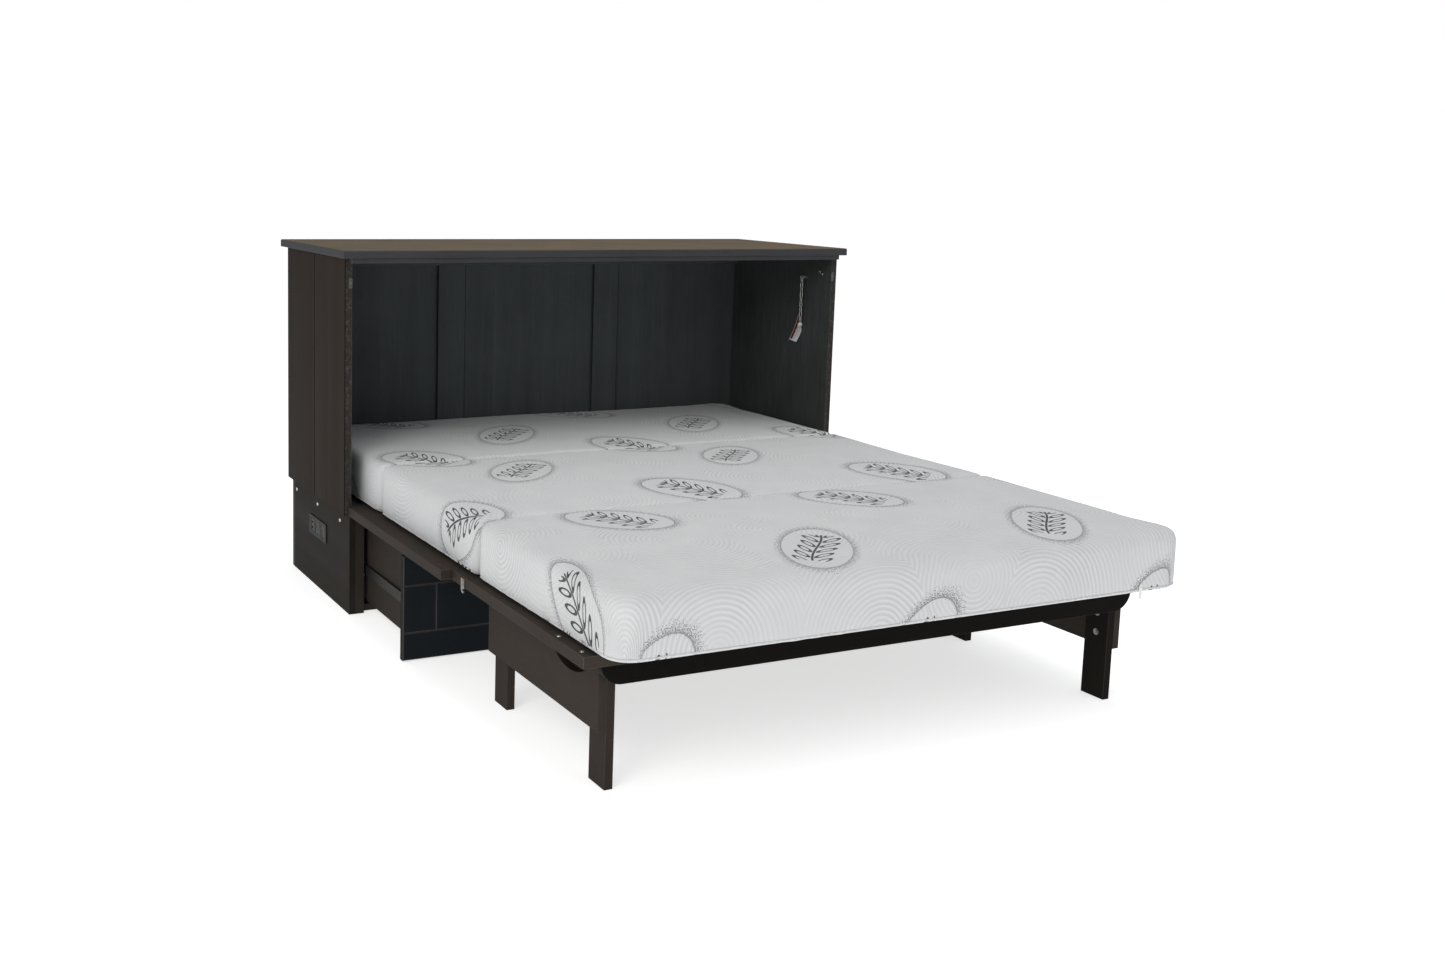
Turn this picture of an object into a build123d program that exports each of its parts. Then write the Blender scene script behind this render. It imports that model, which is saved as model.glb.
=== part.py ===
"""Cabinet wall bed, shown open: a low cabinet whose front folds down into a bed.

The case stands on a base that holds a wide drawer.  The front panel drops to the
level of the case floor, a second deck unfolds from its end on two leg frames, and a
mattress in three sections lies over the lot.  Millimetres, +Z up, the wall at +Y and
the foot of the bed at -Y.  X = 0 is the plane of symmetry.
"""
import os

from build123d import *

os.makedirs("parts", exist_ok=True)

# ---- driving dimensions -------------------------------------------------------------
EASE = 1.5                      # softened edge of a finished board
CASE_HALF = 813.0               # half the width over the case sides
CASE_DEPTH = 564.0              # case sides, front edge to back edge
SIDE_T = 20.0
TOP_HALF = 826.0
TOP_T = 22.0
TOP_Z = 1016.0                  # upper face of the top
TOP_FRONT, TOP_BACK = 30.0, 594.0   # overhangs before and behind the front plane
HEADER_T, HEADER_H = 24.0, 13.5   # shallow enough for the stowed decks to pass under
BASE_HALF, BASE_T, BASE_Z = 798.0, 18.0, 283.0
POST_W = 43.0
FLOOR_Z = 300.0                 # upper face of the case floor
DECK_Z, DECK_T = 308.0, 25.0    # upper face and thickness of the folding decks
PANEL_HALF, PANEL_L = 802.0, 695.0
FOOT_HALF, FOOT_L = 775.0, 676.0
FOLD_GAP = 2.0                  # open joint between the front panel and the foot deck
RAIL_T, RAIL_H, RAIL_HALF, RAIL_SET = 18.0, 57.0, 716.0, 40.0
LEG_W, LEG_T, LEG_OUT = 70.0, 20.0, 690.0
APRON_T, APRON_Z, APRON_BACK = 18.0, 124.0, 67.0
DRAWER_OPEN = 435.0             # face of the drawer front ahead of the case
DRAWER_HALF, DRAWER_T = 799.0, 19.0
DRAWER_Z0, DRAWER_Z1 = 4.0, 275.0
BOX_HALF, BOX_T, BOX_L, BOX_Z0, BOX_Z1 = 742.0, 12.0, 525.0, 30.0, 254.0
MAT_HALF, MAT_L, MAT_T = 752.0, 668.0, 139.0
MAT_FRONT = 1458.0              # foot end of the mattress ahead of the front plane
GROOVE = 2.5                    # chamfer that makes a V joint between two boards

# the origin is the centre of the footprint, so the front plane of the case lies here
FACE = (MAT_FRONT - TOP_BACK) / 2
UNDER = DECK_Z - DECK_T         # underside of the folding decks
AXLE_R = DECK_T / 2             # the front panel's back end is rounded about its hinge
AXLE_Y, AXLE_Z = FACE - AXLE_R - 1.0, DECK_Z - AXLE_R
PANEL_END = FACE - PANEL_L
FOLD_Y, FOLD_Z = PANEL_END - FOLD_GAP / 2, DECK_Z + 1.0
FOOT_START = PANEL_END - FOLD_GAP
FOOT_END = FOOT_START - FOOT_L
RAIL_Y = FOOT_END + RAIL_SET
FRAME_FRONT = RAIL_Y + RAIL_T + 2.0
FRAME_BACK = FOOT_START - APRON_BACK
LEG_AXIS_X, LEG_AXIS_Z = LEG_OUT - LEG_T - 2.0, UNDER - 2.0
INNER = CASE_HALF - SIDE_T
WALL_Y = FACE + 548.0           # front of the battens on the back wall
FOLD_PLACES = (-560.0, 0.0, 560.0)


def save(piece, label):
    """Name a finished piece and write it to its own file."""
    piece.part.label = label
    export_step(piece.part, f"parts/{label}.step")


def slab(x0, x1, y0, y1, z0, z1, mode=Mode.ADD):
    """Add or cut a plain block between two corners."""
    with Locations(((x0 + x1) / 2, (y0 + y1) / 2, (z0 + z1) / 2)):
        Box(x1 - x0, y1 - y0, z1 - z0, mode=mode)


def board(label, x0, x1, y0, y1, z0, z1, ease=EASE, twin=False):
    """A board with eased edges, and its mirror image when it is one of a pair."""
    with BuildPart() as piece:
        slab(x0, x1, y0, y1, z0, z1)
        fillet(piece.edges(), ease)
        if twin:
            mirror(about=Plane.YZ)
    save(piece, label)


def rod_x(x, y, z, radius, length, mode=Mode.ADD):
    """Add or cut a round bar along X, centred on a point."""
    with BuildSketch(Plane.YZ.offset(x - length / 2)) as disc:
        with Locations((y, z)):
            Circle(radius)
    extrude(disc.sketch, amount=length, mode=mode)


def rod_y(x, y, z, radius, length, mode=Mode.ADD):
    """Add or cut a round bar along Y that starts at y and runs towards +Y."""
    with BuildSketch(Plane.XZ.offset(-y)) as disc:
        with Locations((x, z)):
            Circle(radius)
    extrude(disc.sketch, amount=-length, mode=mode)


def screw_heads(radius, height, places):
    """Low domed heads, each on the plane and at the spot that it is given."""
    for plane in places:
        with BuildSketch(plane) as disc:
            Circle(radius)
        extrude(disc.sketch, amount=height, taper=25)
        with BuildSketch(plane.offset(height)) as cross:
            RectangleRounded(radius, radius / 4, radius / 9)
            RectangleRounded(radius / 4, radius, radius / 9)
        extrude(cross.sketch, amount=-height / 2, mode=Mode.SUBTRACT)


# ---- case ---------------------------------------------------------------------------
with BuildPart() as top:
    slab(-TOP_HALF, TOP_HALF, FACE - TOP_FRONT, FACE + TOP_BACK, TOP_Z - TOP_T, TOP_Z)
    fillet(top.faces().sort_by(Axis.Z)[-1].edges(), 4.0)
    fillet(top.faces().sort_by(Axis.Z)[0].edges(), EASE)
save(top, "top_panel")

SIDE_TOP = TOP_Z - TOP_T
board("top_header", -PANEL_HALF, PANEL_HALF, FACE - HEADER_T, FACE - 1.0,
      SIDE_TOP - HEADER_H, SIDE_TOP)

CATCH_Z = AXLE_Z + 630.0
CATCH_X = CASE_HALF - 16.0
CATCH_SEAT = 2.0
CATCH_W, CATCH_L = 10.0, 28.0
SEAM_Y = FACE + CASE_DEPTH / 2
for side, sign in (("left", -1), ("right", 1)):
    x_in, x_out = sorted((sign * INNER, sign * CASE_HALF))
    for name, y0, y1 in (("front", FACE, SEAM_Y), ("rear", SEAM_Y, FACE + CASE_DEPTH)):
        with BuildPart() as side_board:
            slab(x_in, x_out, y0, y1, BASE_Z, SIDE_TOP)
            outer = side_board.faces().sort_by(Axis.X)[0 if sign < 0 else -1]
            chamfer(outer.edges().filter_by(Axis.Z), GROOVE)
            if name == "front":
                with BuildSketch(Plane.XZ.offset(-y0)):
                    with Locations((sign * CATCH_X, CATCH_Z)):
                        RectangleRounded(CATCH_W + 0.4, CATCH_L + 0.4, 5.0)
                extrude(amount=-CATCH_SEAT, mode=Mode.SUBTRACT)
        save(side_board, f"{side}_side_{name}")

# a catch is a plate with two sprung balls, let into the front edge of each side
with BuildPart() as catches:
    with BuildSketch(Plane.XZ.offset(-(FACE + CATCH_SEAT))):
        with Locations((CATCH_X, CATCH_Z)):
            RectangleRounded(CATCH_W, CATCH_L, 4.8)
    extrude(amount=CATCH_SEAT)
    with Locations((CATCH_X, FACE + 0.6, CATCH_Z - 7), (CATCH_X, FACE + 0.6, CATCH_Z + 7)):
        Sphere(2.6)
    split(bisect_by=Plane.XZ.offset(-(FACE + CATCH_SEAT)), keep=Keep.TOP)
    mirror(about=Plane.YZ)
save(catches, "catches")

# the back wall: three thin panels behind two upright battens
BATTEN_X, BATTEN_W, BATTEN_T = 279.0, 95.0, 10.0
PANEL_BACK_T = 6.0
panel_edges = (-INNER, -BATTEN_X, BATTEN_X, INNER)
with BuildPart() as back_panels:
    for x0, x1 in zip(panel_edges, panel_edges[1:]):
        slab(x0 + 0.5, x1 - 0.5, WALL_Y + BATTEN_T, WALL_Y + BATTEN_T + PANEL_BACK_T,
             FLOOR_Z, SIDE_TOP)
save(back_panels, "back_panels")

with BuildPart() as back_battens:
    slab(BATTEN_X - BATTEN_W / 2, BATTEN_X + BATTEN_W / 2, WALL_Y, WALL_Y + BATTEN_T,
         FLOOR_Z, SIDE_TOP - 60)
    chamfer(back_battens.faces().sort_by(Axis.Y)[0].edges().filter_by(Axis.Z), 2.0)
    mirror(about=Plane.YZ)
save(back_battens, "back_battens")

board("back_top_rail", -INNER, INNER, WALL_Y - 8, WALL_Y + BATTEN_T, SIDE_TOP - 60, SIDE_TOP)

board("case_floor", -INNER, INNER, FACE, WALL_Y + BATTEN_T + PANEL_BACK_T, BASE_Z, FLOOR_Z)

# ---- base ---------------------------------------------------------------------------
BASE_BACK = FACE + CASE_DEPTH
POST_T = 20.0
OUTLET_Y, OUTLET_Z = FACE + 293.0, 179.0
OUTLET_W, OUTLET_H = 168.0, 58.0
BOX_Y1 = BASE_BACK - BASE_T
with BuildPart() as base_sides:
    slab(BASE_HALF - BASE_T, BASE_HALF, FACE, BOX_Y1, 0, BASE_Z)
    mirror(about=Plane.YZ)
    # the opening for the power outlet goes through the left side only
    slab(-BASE_HALF, -BASE_HALF + BASE_T, OUTLET_Y - OUTLET_W / 2 + 12,
         OUTLET_Y + OUTLET_W / 2 - 12, OUTLET_Z - OUTLET_H / 2 + 8,
         OUTLET_Z + OUTLET_H / 2 - 8, mode=Mode.SUBTRACT)
save(base_sides, "base_sides")

with BuildPart() as posts:
    slab(BASE_HALF - POST_W, BASE_HALF - BASE_T, FACE, FACE + POST_T, 0, BASE_Z)
    mirror(about=Plane.YZ)
save(posts, "base_front_posts")

board("base_back", -BASE_HALF, BASE_HALF, BOX_Y1, BASE_BACK, 0, BASE_Z)
POST_IN = BASE_HALF - POST_W
RAIL_UNDER = 24.0               # depth of the rail and of the beams over the drawer
board("base_front_rail", -POST_IN, POST_IN, FACE, FACE + POST_T, BASE_Z - RAIL_UNDER, BASE_Z)
board("base_stretcher", -POST_IN, POST_IN, FACE + POST_T, FACE + POST_T + 60, 0, 20)

BEARER_YS = (FACE + 190, FACE + 380)
with BuildPart() as bearers:
    for y in BEARER_YS:
        slab(-BASE_HALF + BASE_T, BASE_HALF - BASE_T, y - 10, y + 10, BASE_Z - RAIL_UNDER, BASE_Z)
save(bearers, "floor_bearers")

# ball-bearing drawer runners: a packer and a channel on each side of the case
RUN_Y0, RUN_Y1 = FACE + POST_T + 2, FACE + 520
RUN_Z, RUN_H = 122.0, 45.0
with BuildPart() as packers:
    slab(POST_IN, BASE_HALF - BASE_T, RUN_Y0, RUN_Y1, RUN_Z - 30, RUN_Z + 30)
    mirror(about=Plane.YZ)
save(packers, "runner_packers")

CHANNEL_LIP = 5.5
with BuildPart() as channels:
    with BuildSketch(Plane.XZ.offset(-RUN_Y0)):
        with Locations((POST_IN - 4.5, RUN_Z)):
            Rectangle(9.0, RUN_H)
        with Locations((POST_IN - 6.0, RUN_Z)):
            Rectangle(9.0, RUN_H - 3.0, mode=Mode.SUBTRACT)
        with Locations((POST_IN - 8.25, RUN_Z + RUN_H / 2 - CHANNEL_LIP / 2),
                       (POST_IN - 8.25, RUN_Z - RUN_H / 2 + CHANNEL_LIP / 2)):
            Rectangle(1.5, CHANNEL_LIP)
    extrude(amount=-(RUN_Y1 - RUN_Y0))
    mirror(about=Plane.YZ)
save(channels, "runner_channels")

# screws: three through each base side, two in each case side near the front top
SCREW_SPOTS = (85.0, 300.0, 517.0)
with BuildPart() as case_screws:
    spots = [Plane(origin=(-BASE_HALF, FACE + y, BASE_Z - 32), z_dir=(-1, 0, 0))
             for y in SCREW_SPOTS]
    spots += [Plane(origin=(-INNER, FACE + y, z), z_dir=(1, 0, 0))
              for y, z in ((50.0, 930.0), (64.0, 937.0))]
    screw_heads(5.5, 1.6, spots)
    mirror(about=Plane.YZ)
save(case_screws, "case_screws")

# power outlet let into the left side of the base
OUTLET_X = -BASE_HALF
PLATE_T = 3.0
SOCKET_YS = (OUTLET_Y - 52, OUTLET_Y + 4)
USB_Y = OUTLET_Y + 52
with BuildPart() as outlet_plate:
    with BuildSketch(Plane.YZ.offset(OUTLET_X - PLATE_T)):
        with Locations((OUTLET_Y, OUTLET_Z)):
            RectangleRounded(OUTLET_W, OUTLET_H, 8)
        with Locations(*[(y, OUTLET_Z) for y in SOCKET_YS]):
            RectangleRounded(36, 34, 6, mode=Mode.SUBTRACT)
        with Locations((USB_Y, OUTLET_Z)):
            RectangleRounded(26, 34, 3, mode=Mode.SUBTRACT)
    extrude(amount=PLATE_T)
    chamfer(outlet_plate.faces().sort_by(Axis.X)[0].outer_wire().edges(), 1.0)
save(outlet_plate, "outlet_plate")

with BuildPart() as sockets:
    for y in SOCKET_YS:
        with BuildSketch(Plane.YZ.offset(OUTLET_X - PLATE_T + 0.6)):
            with Locations((y, OUTLET_Z)):
                RectangleRounded(35.4, 33.4, 5.7)
        extrude(amount=14)
        with BuildSketch(Plane.YZ.offset(OUTLET_X - PLATE_T)):
            with Locations((y, OUTLET_Z + 6), (y, OUTLET_Z - 6)):
                Rectangle(8, 2)
            with Locations((y + 10, OUTLET_Z)):
                Circle(2.4)
        extrude(amount=10, mode=Mode.SUBTRACT)
    with BuildSketch(Plane.YZ.offset(OUTLET_X - PLATE_T + 0.6)):
        with Locations((USB_Y, OUTLET_Z)):
            RectangleRounded(25.4, 33.4, 2.7)
    extrude(amount=14)
    with BuildSketch(Plane.YZ.offset(OUTLET_X - PLATE_T)):
        with Locations((USB_Y, OUTLET_Z + 8), (USB_Y, OUTLET_Z - 8)):
            Rectangle(13, 5.5)
    extrude(amount=10, mode=Mode.SUBTRACT)
save(sockets, "outlet_sockets")

with BuildPart() as outlet_box:
    slab(-BASE_HALF + BASE_T, POST_IN * -1, OUTLET_Y - OUTLET_W / 2, OUTLET_Y + OUTLET_W / 2,
         OUTLET_Z - OUTLET_H / 2 + 4, OUTLET_Z + OUTLET_H / 2)
    offset(amount=-2, openings=outlet_box.faces().sort_by(Axis.X)[0])
save(outlet_box, "outlet_box")

# ---- hinge between the case and the front panel --------------------------------------
HINGE_W, PIN_R, PIN_CLEAR = 78.0, 4.0, 0.08
NOTCH_W, NOTCH_D = HINGE_W + 3.0, AXLE_R + 20.0
PIN_L = HINGE_W + 70.0
with BuildPart() as brackets:
    for x in FOLD_PLACES:
        rod_x(x, AXLE_Y, AXLE_Z, 10.0, HINGE_W)
        slab(x - HINGE_W / 2, x + HINGE_W / 2, AXLE_Y, FACE, BASE_Z + 4, FLOOR_Z - 1)
        rod_x(x, AXLE_Y, AXLE_Z, PIN_R, HINGE_W + 2, mode=Mode.SUBTRACT)
save(brackets, "panel_hinge_brackets")

with BuildPart() as hinge_pins:
    for x in FOLD_PLACES:
        rod_x(x, AXLE_Y, AXLE_Z, PIN_R, PIN_L)
save(hinge_pins, "panel_hinge_pins")

# ---- front panel, lying open ---------------------------------------------------------
CORE_T = 17.0
FACING_T = DECK_T - CORE_T
STRIKE_X, STRIKE_Y = PANEL_HALF - 13.0, AXLE_Y - 630.0
BARREL_R, LEAF_T, LEAF_W, LEAF_L = 2.5, 2.0, 28.0, 90.0
KNUCKLE = LEAF_L / 3


def hinge_seat():
    """Cut the joint's barrel recesses and the seats of its leaves from a deck."""
    for x in FOLD_PLACES:
        rod_x(x, FOLD_Y, FOLD_Z, BARREL_R + 1.0, LEAF_L + 2, mode=Mode.SUBTRACT)
        slab(x - LEAF_L / 2 - 0.5, x + LEAF_L / 2 + 0.5, FOLD_Y - LEAF_W - 0.5,
             FOLD_Y + LEAF_W + 0.5, DECK_Z - LEAF_T, DECK_Z, mode=Mode.SUBTRACT)


with BuildPart() as panel:
    slab(-PANEL_HALF, PANEL_HALF, PANEL_END, AXLE_Y, UNDER + FACING_T, DECK_Z)
    slab(-PANEL_HALF, PANEL_HALF, AXLE_Y - 40, AXLE_Y, UNDER, UNDER + FACING_T)
    fillet(panel.faces().sort_by(Axis.Y)[0].edges().filter_by(Axis.X), EASE)
    rod_x(0, AXLE_Y, AXLE_Z, AXLE_R, 2 * PANEL_HALF)
    for x in FOLD_PLACES:
        with BuildSketch(Plane.XY.offset(UNDER)):
            with Locations((x, AXLE_Y)):
                Rectangle(NOTCH_W, 2 * NOTCH_D)
        extrude(amount=DECK_T, mode=Mode.SUBTRACT)
        rod_x(x, AXLE_Y, AXLE_Z, PIN_R + PIN_CLEAR, PIN_L + 2, mode=Mode.SUBTRACT)
    hinge_seat()
    with BuildSketch(Plane.XY.offset(DECK_Z - 9)):
        with Locations((STRIKE_X, STRIKE_Y), (-STRIKE_X, STRIKE_Y)):
            Circle(4.5)
    extrude(amount=9, mode=Mode.SUBTRACT)
    with BuildSketch(Plane.XY.offset(DECK_Z - 2.5)):
        with Locations((STRIKE_X, STRIKE_Y), (-STRIKE_X, STRIKE_Y)):
            Circle(4.5)
    extrude(amount=2.5, taper=-40, mode=Mode.SUBTRACT)
save(panel, "front_panel_deck")

# its outer face, underneath here, is framed with stiles and rails round plain fields
STILE_W = 89.0
FRAME_Y0, FRAME_Y1 = PANEL_END, AXLE_Y - 40
RAIL_YS = (FRAME_Y0, FRAME_Y0 + 70, (FRAME_Y0 + FRAME_Y1) / 2 - 35,
           (FRAME_Y0 + FRAME_Y1) / 2 + 35, FRAME_Y1 - 70, FRAME_Y1)
with BuildPart() as panel_rails:
    for y0, y1 in zip(RAIL_YS[::2], RAIL_YS[1::2]):
        slab(-PANEL_HALF, PANEL_HALF, y0, y1, UNDER, UNDER + FACING_T)
    lower = panel_rails.faces().filter_by(Axis.Z).group_by(Axis.Z)[0]
    chamfer(lower.edges().filter_by(Axis.X), GROOVE / 2)
save(panel_rails, "front_panel_rails")

with BuildPart() as panel_stiles:
    for y0, y1 in zip(RAIL_YS[1:-1:2], RAIL_YS[2:-1:2]):
        slab(PANEL_HALF - STILE_W, PANEL_HALF, y0, y1, UNDER, UNDER + FACING_T)
    mirror(about=Plane.YZ)
    for y0, y1 in zip(RAIL_YS[1:-1:2], RAIL_YS[2:-1:2]):
        slab(-PANEL_HALF + STILE_W + 1, PANEL_HALF - STILE_W - 1, y0 + 1, y1 - 1, UNDER + 3,
             UNDER + FACING_T)
save(panel_stiles, "front_panel_fields")

# ---- hinges between the two decks ----------------------------------------------------
FOLD_PIN_R = 1.2


def fold_leaf(toward, knuckles):
    """Hinge leaves that run from the fold towards one deck, with their knuckles."""
    for x in FOLD_PLACES:
        y0, y1 = sorted((FOLD_Y + toward * 0.4, FOLD_Y + toward * LEAF_W))
        slab(x - LEAF_L / 2, x + LEAF_L / 2, y0, y1, DECK_Z - LEAF_T, DECK_Z)
        rod_x(x, FOLD_Y, FOLD_Z, BARREL_R + 0.3, LEAF_L + 2, mode=Mode.SUBTRACT)
        for slot, length in knuckles:
            spot = x + slot * KNUCKLE
            rod_x(spot, FOLD_Y, FOLD_Z, BARREL_R, length)
            near, far = sorted((FOLD_Y + toward * 1.6, FOLD_Y + toward * 6.0))
            slab(spot - length / 2, spot + length / 2, near, far, DECK_Z - LEAF_T, DECK_Z)


OUTER_KNUCKLES = ((-1, KNUCKLE - 0.4), (1, KNUCKLE - 0.4))
with BuildPart() as panel_leaves:
    fold_leaf(1, OUTER_KNUCKLES)
    for x in FOLD_PLACES:
        rod_x(x, FOLD_Y, FOLD_Z, FOLD_PIN_R, LEAF_L + 2, mode=Mode.SUBTRACT)
save(panel_leaves, "fold_hinge_panel_leaves")

with BuildPart() as foot_leaves:
    fold_leaf(-1, ((0, KNUCKLE - 0.8),))
    for x in FOLD_PLACES:
        rod_x(x, FOLD_Y, FOLD_Z, FOLD_PIN_R + 0.06, LEAF_L + 2, mode=Mode.SUBTRACT)
save(foot_leaves, "fold_hinge_foot_leaves")

with BuildPart() as fold_pins:
    for x in FOLD_PLACES:
        rod_x(x, FOLD_Y, FOLD_Z, FOLD_PIN_R, LEAF_L)
save(fold_pins, "fold_hinge_pins")

# ---- foot deck -----------------------------------------------------------------------
LEG_HINGE_YS = (FRAME_BACK - LEG_W / 2, FRAME_FRONT + LEG_W / 2)
LEG_HINGE_L = 54.0
LEG_BARREL_R = 3.5
LEG_KNUCKLE = 17.6
with BuildPart() as foot:
    slab(-FOOT_HALF, FOOT_HALF, FOOT_END, FOOT_START, UNDER, DECK_Z)
    fillet(foot.edges(), EASE)
    hinge_seat()
    for x in (LEG_AXIS_X, -LEG_AXIS_X):
        for y in LEG_HINGE_YS:
            rod_y(x, y - LEG_HINGE_L / 2 - 1, LEG_AXIS_Z, LEG_BARREL_R + 0.8,
                  LEG_HINGE_L + 2, mode=Mode.SUBTRACT)
save(foot, "foot_deck")

with BuildPart() as front_rail:
    with BuildSketch(Plane.XZ.offset(-RAIL_Y)):
        with Locations((0, UNDER - RAIL_H / 2)):
            Rectangle(2 * RAIL_HALF, RAIL_H)
    extrude(amount=-RAIL_T)
    low = front_rail.edges().filter_by(Axis.Y).group_by(Axis.Z)[0]
    fillet(low, 50.0)
    fillet(front_rail.faces().sort_by(Axis.Y)[0].edges(), EASE)
save(front_rail, "front_rail")

DECK_SCREW_YS = (FACE - 1238.0, FACE - 1341.0)
with BuildPart() as deck_screws:
    screw_heads(5.0, 1.2, [Plane(origin=(-FOOT_HALF + 13, y, DECK_Z), z_dir=(0, 0, 1))
                           for y in DECK_SCREW_YS])
    mirror(about=Plane.YZ)
save(deck_screws, "deck_screws")

# a hook plate on each side edge of the foot deck, by the fold
HOOK_Y, HOOK_T = FACE - 767.0, 2.5
with BuildPart() as hooks:
    with BuildSketch(Plane.YZ.offset(FOOT_HALF)):
        with BuildLine():
            Polyline((HOOK_Y - 9, DECK_Z - 3), (HOOK_Y + 9, DECK_Z - 3), (HOOK_Y + 9, UNDER - 4),
                     (HOOK_Y + 4, UNDER - 12), (HOOK_Y - 6, UNDER - 12), (HOOK_Y - 6, UNDER - 7),
                     (HOOK_Y + 1, UNDER - 7), (HOOK_Y + 1, UNDER - 2), (HOOK_Y - 9, UNDER - 2),
                     close=True)
        make_face()
    extrude(amount=HOOK_T)
    screw_heads(4.0, 1.0, [Plane(origin=(FOOT_HALF + HOOK_T, HOOK_Y, z), z_dir=(1, 0, 0))
                           for z in (UNDER + 6, UNDER + 17)])
    mirror(about=Plane.YZ)
save(hooks, "side_hooks")

# ---- leg frames ----------------------------------------------------------------------
PLATE_W = 34.0
with BuildPart() as leg_plates:
    for y in LEG_HINGE_YS:
        slab(LEG_AXIS_X - PLATE_W, LEG_AXIS_X - 4, y - LEG_HINGE_L / 2, y + LEG_HINGE_L / 2,
             UNDER - 1.6, UNDER)
        for spot in (y - LEG_HINGE_L / 2, y + LEG_HINGE_L / 2 - LEG_KNUCKLE):
            rod_y(LEG_AXIS_X, spot, LEG_AXIS_Z, LEG_BARREL_R, LEG_KNUCKLE)
            slab(LEG_AXIS_X - 4.5, LEG_AXIS_X - 2, spot, spot + LEG_KNUCKLE, UNDER - 1.6, UNDER)
        rod_y(LEG_AXIS_X, y - LEG_HINGE_L / 2 - 1, LEG_AXIS_Z, FOLD_PIN_R, LEG_HINGE_L + 2,
              mode=Mode.SUBTRACT)
    mirror(about=Plane.YZ)
save(leg_plates, "leg_hinge_plates")

with BuildPart() as leg_pins:
    for y in LEG_HINGE_YS:
        rod_y(LEG_AXIS_X, y - LEG_HINGE_L / 2, LEG_AXIS_Z, FOLD_PIN_R, LEG_HINGE_L)
    mirror(about=Plane.YZ)
save(leg_pins, "leg_hinge_pins")

GRIP_Y, GRIP_R, GRIP_DEEP = FACE - 1182.0, 141.0, 67.0
LEG_TOP = UNDER - 1.0
WASHER_T, BOLT_HEAD = 1.2, 2.2  # together thinner than the gap left when the legs fold
for side, sign in (("left", -1), ("right", 1)):
    x_face, x_out = sign * LEG_OUT, sign * (LEG_OUT + APRON_T)
    with BuildPart() as apron:
        slab(min(x_face, x_out), max(x_face, x_out), FRAME_FRONT, FRAME_BACK, APRON_Z, LEG_TOP)
        with BuildSketch(Plane.YZ.offset(min(x_face, x_out))):
            with Locations((GRIP_Y, LEG_TOP - GRIP_DEEP + GRIP_R)):
                Circle(GRIP_R)
        extrude(amount=APRON_T, mode=Mode.SUBTRACT)
        fillet(apron.edges().filter_by(Axis.X), EASE)
    save(apron, f"{side}_apron")

    # two legs, and a short board between their tops that backs the finger pull
    x_in, x_far = sorted((sign * (LEG_OUT - LEG_T), x_face))
    with BuildPart() as legs:
        slab(x_in, x_far, FRAME_FRONT + LEG_W + 0.5, FRAME_BACK - LEG_W - 0.5,
             LEG_TOP - GRIP_DEEP - 8, LEG_TOP)
        for y0 in (FRAME_FRONT, FRAME_BACK - LEG_W):
            slab(x_in, x_far, y0, y0 + LEG_W, 0, LEG_TOP)
        fillet(legs.edges().filter_by(Axis.Z), EASE)
        for y in LEG_HINGE_YS:
            rod_y(sign * LEG_AXIS_X, y - LEG_HINGE_L / 2 - 1, LEG_AXIS_Z, LEG_BARREL_R + 0.8,
                  LEG_HINGE_L + 2, mode=Mode.SUBTRACT)
    save(legs, f"{side}_legs")

    # low bolts that clamp each leg to the apron, seen as washers and heads inside
    with BuildPart() as bolts:
        for y in LEG_HINGE_YS:
            for z in (APRON_Z + 36, APRON_Z + 84):
                spot = Plane(origin=(sign * (LEG_OUT - LEG_T), y, z), z_dir=(-sign, 0, 0))
                with BuildSketch(spot):
                    Circle(8.0)
                extrude(amount=WASHER_T)
                with BuildSketch(spot.offset(WASHER_T)):
                    RegularPolygon(5.6, 6)
                extrude(amount=BOLT_HEAD)
    save(bolts, f"{side}_leg_bolts")

    with BuildPart() as leg_hinges:
        for y in LEG_HINGE_YS:
            plate_x = sign * (LEG_OUT - LEG_T - 0.8)
            slab(plate_x - 0.8, plate_x + 0.8, y - LEG_HINGE_L / 2, y + LEG_HINGE_L / 2,
                 LEG_AXIS_Z - PLATE_W, LEG_AXIS_Z - 4.0)
            slab(plate_x - 0.8, plate_x + 0.8, y - LEG_KNUCKLE / 2, y + LEG_KNUCKLE / 2,
                 LEG_AXIS_Z - 4.5, LEG_AXIS_Z - 2.0)
            rod_y(sign * LEG_AXIS_X, y - LEG_KNUCKLE / 2, LEG_AXIS_Z, LEG_BARREL_R,
                  LEG_KNUCKLE)
            rod_y(sign * LEG_AXIS_X, y - LEG_HINGE_L / 2, LEG_AXIS_Z, FOLD_PIN_R + 0.06,
                  LEG_HINGE_L, mode=Mode.SUBTRACT)
    save(leg_hinges, f"{side}_leg_hinges")

# ---- drawer, pulled out --------------------------------------------------------------
FRONT_Y = FACE - DRAWER_OPEN
FIELD_Z0, FIELD_Z1 = 75.0, 197.0
CORE = 8.0
LIP = DRAWER_T - CORE
with BuildPart() as drawer_front:
    slab(-DRAWER_HALF, DRAWER_HALF, FRONT_Y + LIP, FRONT_Y + DRAWER_T, DRAWER_Z0, DRAWER_Z1)
    with BuildSketch(Plane.XZ.offset(-(FRONT_Y + LIP))):
        with Locations((0, (FIELD_Z0 + FIELD_Z1) / 2)):
            Rectangle(2 * (DRAWER_HALF - STILE_W), FIELD_Z1 - FIELD_Z0)
    extrude(amount=LIP)
    chamfer(drawer_front.faces().sort_by(Axis.Y)[0].edges(), GROOVE)
save(drawer_front, "drawer_front")

with BuildPart() as front_rails:
    for z0, z1 in ((DRAWER_Z0, FIELD_Z0), (FIELD_Z1, DRAWER_Z1)):
        slab(-DRAWER_HALF, DRAWER_HALF, FRONT_Y, FRONT_Y + LIP, z0, z1)
    chamfer(front_rails.faces().filter_by(Axis.Y).group_by(Axis.Y)[0].edges(), GROOVE)
save(front_rails, "drawer_front_rails")

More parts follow.
